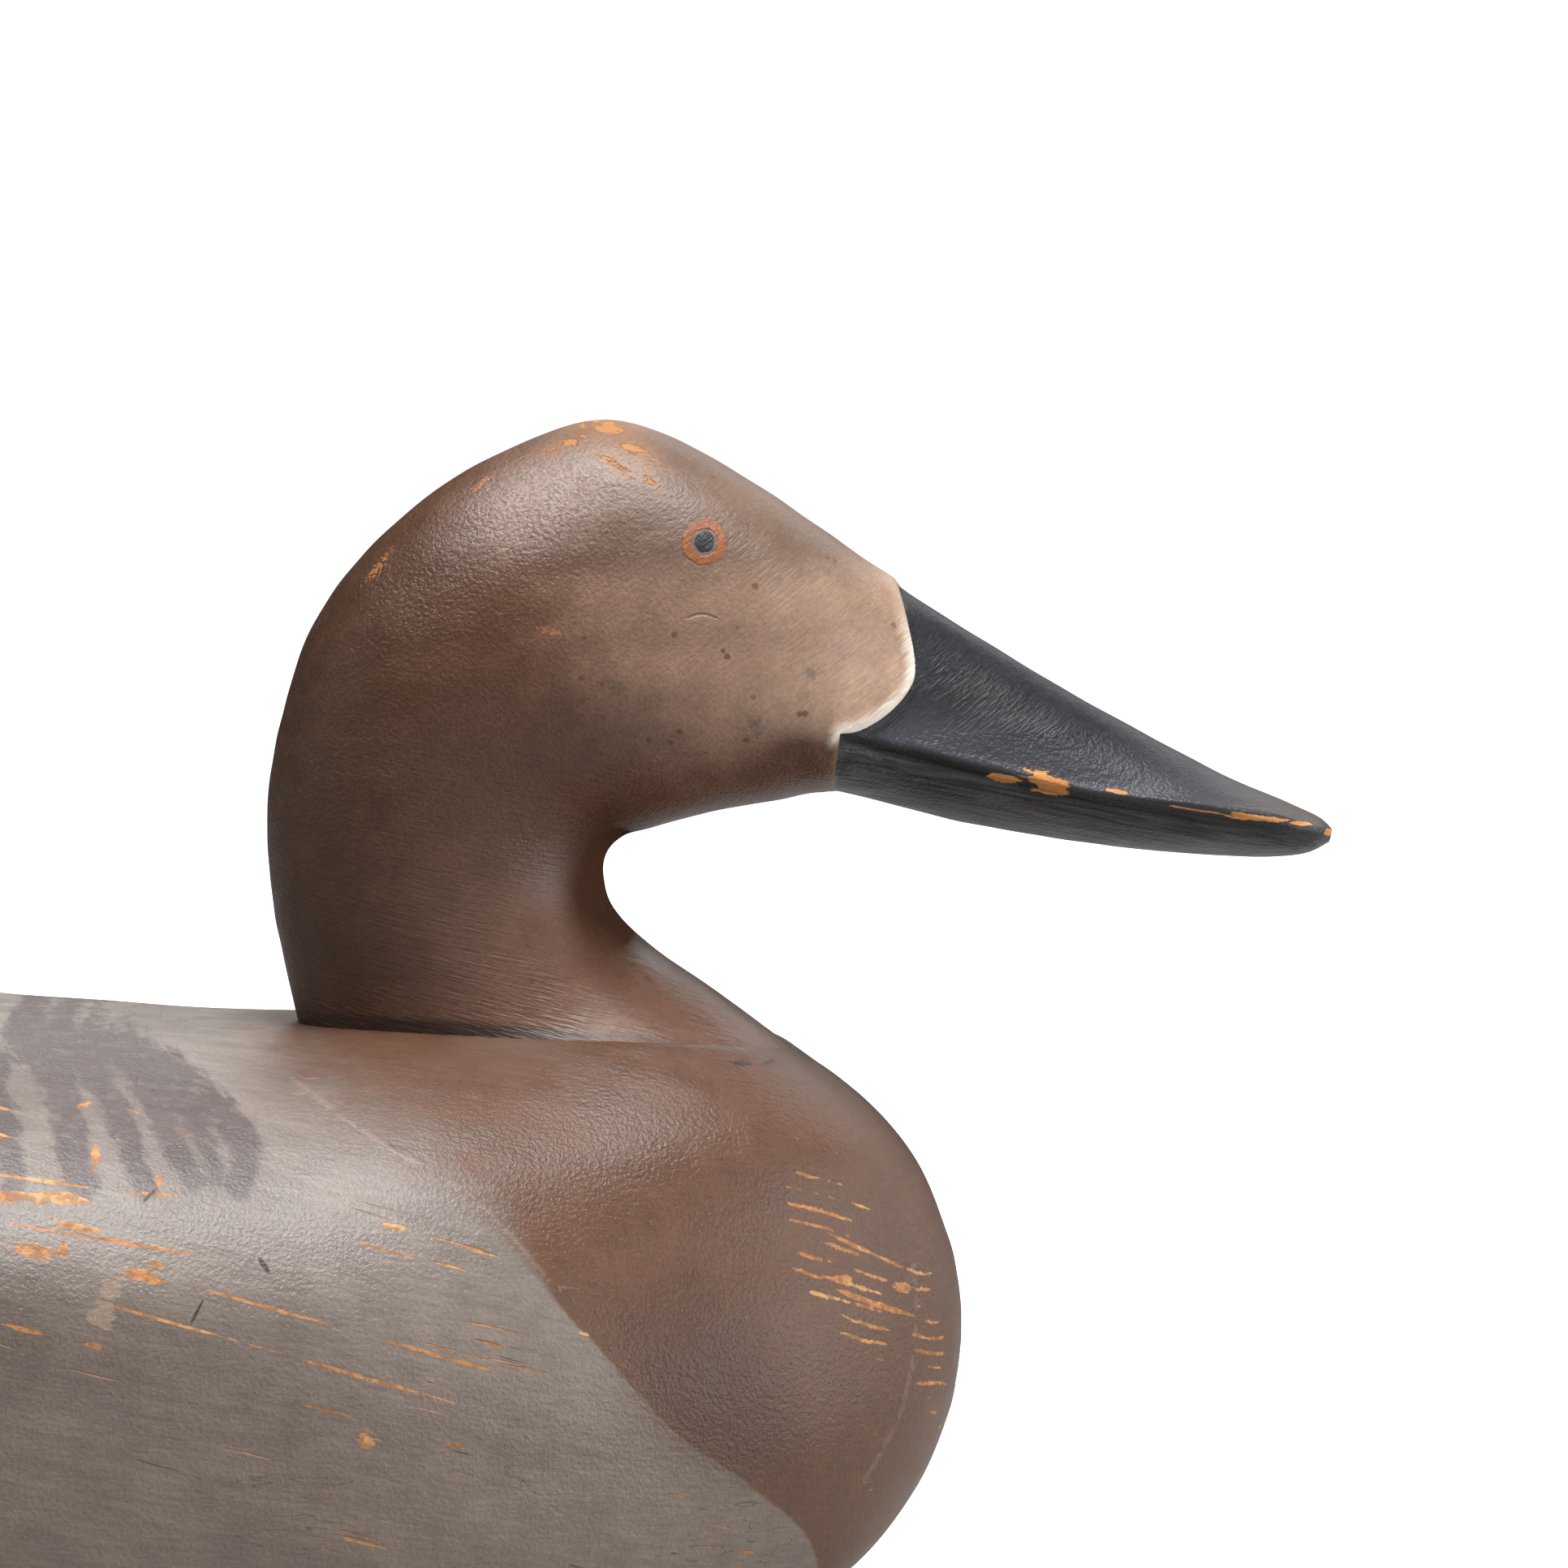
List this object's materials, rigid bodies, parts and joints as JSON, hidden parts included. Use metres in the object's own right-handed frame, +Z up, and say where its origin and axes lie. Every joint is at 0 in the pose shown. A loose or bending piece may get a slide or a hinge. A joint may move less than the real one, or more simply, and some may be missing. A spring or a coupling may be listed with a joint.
{
  "type": "floating duck decoy",
  "caption": "Carved wooden duck decoy with a hollowed, weathered painted body, a raised head on a doweled neck, a ballasted keel and an anchor line ring.",
  "frame": {"origin": "centre of the keel's flat resting face", "axes": "+X towards the bill, +Y towards the decoy's left side, +Z up from the keel to the back"},
  "size_m": [0.4201, 0.158, 0.1817],
  "materials": {
    "body_wood": "old grey and brown paint over wood, worn and cracked along the grain",
    "head_wood": "old satin paint with brush stipple, brown head and blue-black bill, worn to wood on the crown",
    "board_wood": "old grey paint, scuffed",
    "keel_wood": "old grey paint, rubbed to wood at its edges",
    "dowel_wood": "bare turned hardwood",
    "bedding_compound": "dull, squeezed joint compound",
    "iron_nail": "dull dark iron with light rust",
    "tie_iron": "dull tarnished wire with light rust",
    "screw_steel": "dull plain steel",
    "ballast_lead": "dull grey lead, hammered and scratched"
  },
  "bodies": {
    "decoy": {"body_shell": "body_wood", "bottom_board": "board_wood", "board_seal": "bedding_compound", "board_nails": "iron_nail", "head_and_neck": "head_wood", "neck_dowel": "dowel_wood", "neck_screws": "screw_steel", "neck_washers": "screw_steel", "keel": "keel_wood", "keel_screws": "screw_steel", "ballast_strip": "ballast_lead", "ballast_nails": "iron_nail", "line_staple": "tie_iron"},
    "ring": {"line_ring": "tie_iron"}
  },
  "joints": [
    {"name": "ring_swing", "type": "hinge", "parent": "decoy", "child": "ring", "pos_m": [0.1285, 0, 0.01175], "axis": [0, 1, 0], "range_deg": [-28, 151]}
  ]
}
